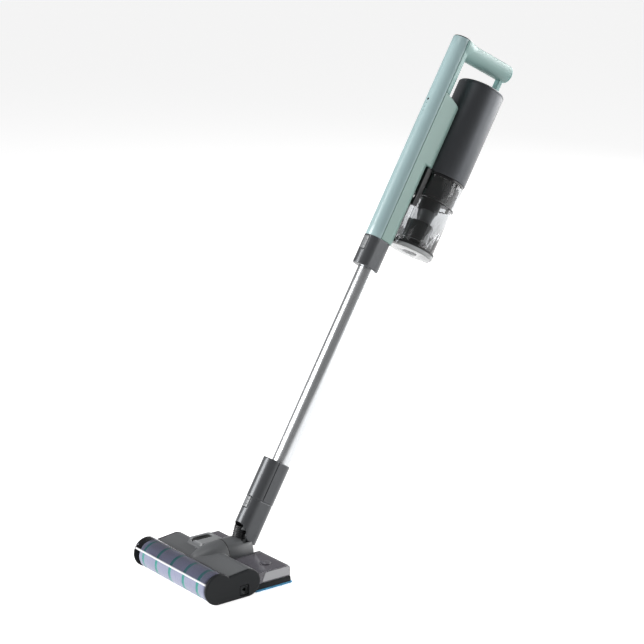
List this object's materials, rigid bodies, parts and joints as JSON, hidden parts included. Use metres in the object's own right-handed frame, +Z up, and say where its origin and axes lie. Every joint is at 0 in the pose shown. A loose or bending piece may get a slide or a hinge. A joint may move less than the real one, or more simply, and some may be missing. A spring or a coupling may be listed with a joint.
{
  "type": "cordless stick vacuum",
  "caption": "Cordless stick vacuum with a striped microfibre roller head, rear mop tank, swivel neck, metal tube, mint spine, clear dust cup and loop grip.",
  "frame": {"origin": "centre of the mop pad's underside, on the floor", "axes": "+X across the head towards the side with the roller cap button, +Y rearwards, +Z up"},
  "size_m": [0.24, 0.8005, 0.9439],
  "materials": {
    "head_grey": "satin moulded",
    "cap_dark": "satin moulded",
    "window_clear": "clear moulded",
    "roller_microfibre": "short plush pile with stripes",
    "mop_microfibre": "looped pile",
    "tank_smoke": "smoke tinted",
    "sleeve_grey": "satin moulded",
    "button_grey": "satin moulded",
    "tube_aluminium": "brushed anodised",
    "spine_mint": "soft satin paint",
    "cover_sage": "soft satin paint",
    "motor_graphite": "metallic graphite",
    "black_plastic": "gloss",
    "cup_clear": "clear moulded",
    "belt_rubber": "moulded",
    "motor_steel": "plain",
    "gear_nylon": "plain",
    "clip_brass": "plain",
    "cell_wrap": "film wrap",
    "board_green": "solder mask",
    "filter_white": "pleated"
  },
  "bodies": {
    "stick": {"lower_sleeve": "sleeve_grey", "hose_cuff": "head_grey", "pivot_pins": "motor_steel", "extension_tube": "tube_aluminium", "upper_collar": "sleeve_grey", "spine_front_shell": "spine_mint", "spine_rear_cover": "cover_sage", "air_duct": "black_plastic", "battery_cells": "cell_wrap", "circuit_board": "board_green", "control_panel": "black_plastic", "indicator_lenses": "black_plastic", "grip_shell": "cover_sage", "grip_end_cap": "spine_mint", "grip_strut": "spine_mint", "motor_housing": "motor_graphite", "motor_top_cap": "motor_graphite", "suction_motor": "motor_steel", "exhaust_filter": "filter_white", "inlet_duct": "black_plastic"},
    "neck": {"swivel_barrel": "head_grey", "swivel_clip": "clip_brass", "neck_hose": "belt_rubber"},
    "head": {"head_housing": "head_grey", "sole_plate": "cap_dark", "side_cap_left": "cap_dark", "roller_window": "window_clear", "suction_duct": "black_plastic", "brush_motor": "motor_steel", "drive_belt": "belt_rubber", "wheel_axles": "motor_steel"},
    "roller": {"roller_core": "black_plastic", "roller_sleeve": "roller_microfibre"},
    "motor_rotor": {"motor_pulley": "gear_nylon"},
    "left_wheel": {"wheel_left": "belt_rubber"},
    "right_wheel": {"wheel_right": "belt_rubber"},
    "roller_cap": {"side_cap_right": "cap_dark"},
    "cap_button": {"cap_release_button": "cap_dark"},
    "tank": {"tank_shell": "tank_smoke", "tank_base": "cap_dark", "mop_pad": "mop_microfibre"},
    "filler_plug": {"filler_cap": "cap_dark"},
    "tank_button": {"tank_release_button": "black_plastic"},
    "lower_release": {"sleeve_button": "button_grey"},
    "upper_release": {"collar_button": "button_grey"},
    "power_key": {"power_button": "button_grey"},
    "mode_key": {"mode_button": "button_grey"},
    "fan": {"impeller": "gear_nylon"},
    "dust_cup": {"cup_shell": "cup_clear", "cup_collar": "black_plastic", "filter_frame": "black_plastic", "cyclone_mesh": "black_plastic", "cyclone_cone": "button_grey", "dust_skirt": "black_plastic", "lid_hinge_pin": "motor_steel"},
    "cup_catch": {"cup_latch": "black_plastic"},
    "cup_door": {"cup_lid": "cup_clear", "lid_seal": "belt_rubber", "lid_hub": "button_grey"}
  },
  "joints": [
    {"name": "neck_pitch", "type": "hinge", "parent": "stick", "child": "neck", "pos_m": [0, 0.025, 0.064], "axis": [1, 0, 0], "range_deg": [-30.9, 44.1], "deforming": ["neck_hose"]},
    {"name": "neck_swivel", "type": "hinge", "parent": "neck", "child": "head", "pos_m": [0, -0.036, 0.038], "axis": [0, 1, 0], "range_deg": [-30, 30]},
    {"name": "roller_spin", "type": "hinge", "parent": "head", "child": "roller", "pos_m": [0, -0.1215, 0.0277], "axis": [1, 0, 0], "continuous": true},
    {"name": "motor_spin", "type": "hinge", "parent": "head", "child": "motor_rotor", "pos_m": [-0.1085, -0.066, 0.031], "axis": [1, 0, 0], "continuous": true},
    {"name": "left_wheel_spin", "type": "hinge", "parent": "head", "child": "left_wheel", "pos_m": [-0.078, -0.076, 0.0079], "axis": [1, 0, 0], "continuous": true},
    {"name": "right_wheel_spin", "type": "hinge", "parent": "head", "child": "right_wheel", "pos_m": [0.078, -0.076, 0.0079], "axis": [1, 0, 0], "continuous": true},
    {"name": "roller_cap_pull", "type": "slide", "parent": "head", "child": "roller_cap", "axis": [1, 0, 0], "range_m": [0, 0.03]},
    {"name": "cap_button_press", "type": "slide", "parent": "roller_cap", "child": "cap_button", "axis": [-1, 0, 0], "range_m": [0, 0.003], "stiffness_N_per_m": 300, "springref_m": -0.002},
    {"name": "tank_pull", "type": "slide", "parent": "head", "child": "tank", "axis": [0, 1, 0], "range_m": [0, 0.06]},
    {"name": "filler_cap_lift", "type": "slide", "parent": "tank", "child": "filler_plug", "axis": [0, 0, 1], "range_m": [0, 0.012]},
    {"name": "tank_button_press", "type": "slide", "parent": "head", "child": "tank_button", "axis": [0, 0, -1], "range_m": [0, 0.0025], "stiffness_N_per_m": 300, "springref_m": -0.002},
    {"name": "lower_release_press", "type": "slide", "parent": "stick", "child": "lower_release", "axis": [0, 0.8581, -0.5135], "range_m": [0, 0.0025], "stiffness_N_per_m": 300, "springref_m": -0.002},
    {"name": "upper_release_press", "type": "slide", "parent": "stick", "child": "upper_release", "axis": [0, 0.8581, -0.5135], "range_m": [0, 0.0025], "stiffness_N_per_m": 300, "springref_m": -0.002},
    {"name": "power_press", "type": "slide", "parent": "stick", "child": "power_key", "axis": [0, -0.5135, -0.8581], "range_m": [0, 0.0015], "stiffness_N_per_m": 400, "springref_m": -0.001},
    {"name": "mode_press", "type": "slide", "parent": "stick", "child": "mode_key", "axis": [0, -0.5135, -0.8581], "range_m": [0, 0.0015], "stiffness_N_per_m": 400, "springref_m": -0.001},
    {"name": "fan_spin", "type": "hinge", "parent": "stick", "child": "fan", "pos_m": [0, 0.49857, 0.70125], "axis": [0, 0.5135, 0.8581], "continuous": true},
    {"name": "cup_pull", "type": "slide", "parent": "stick", "child": "dust_cup", "axis": [0, -0.5135, -0.8581], "range_m": [0, 0.06]},
    {"name": "cup_catch_slide", "type": "slide", "parent": "dust_cup", "child": "cup_catch", "axis": [0, -0.5135, -0.8581], "range_m": [0, 0.004], "stiffness_N_per_m": 300, "springref_m": -0.002},
    {"name": "cup_door_swing", "type": "hinge", "parent": "dust_cup", "child": "cup_door", "pos_m": [0, 0.36178, 0.56927], "axis": [-1, 0, 0], "range_deg": [0, 85]}
  ],
  "couplings": [
    {"joint": "motor_spin", "follows": "roller_spin", "ratio": 1.5385}
  ]
}
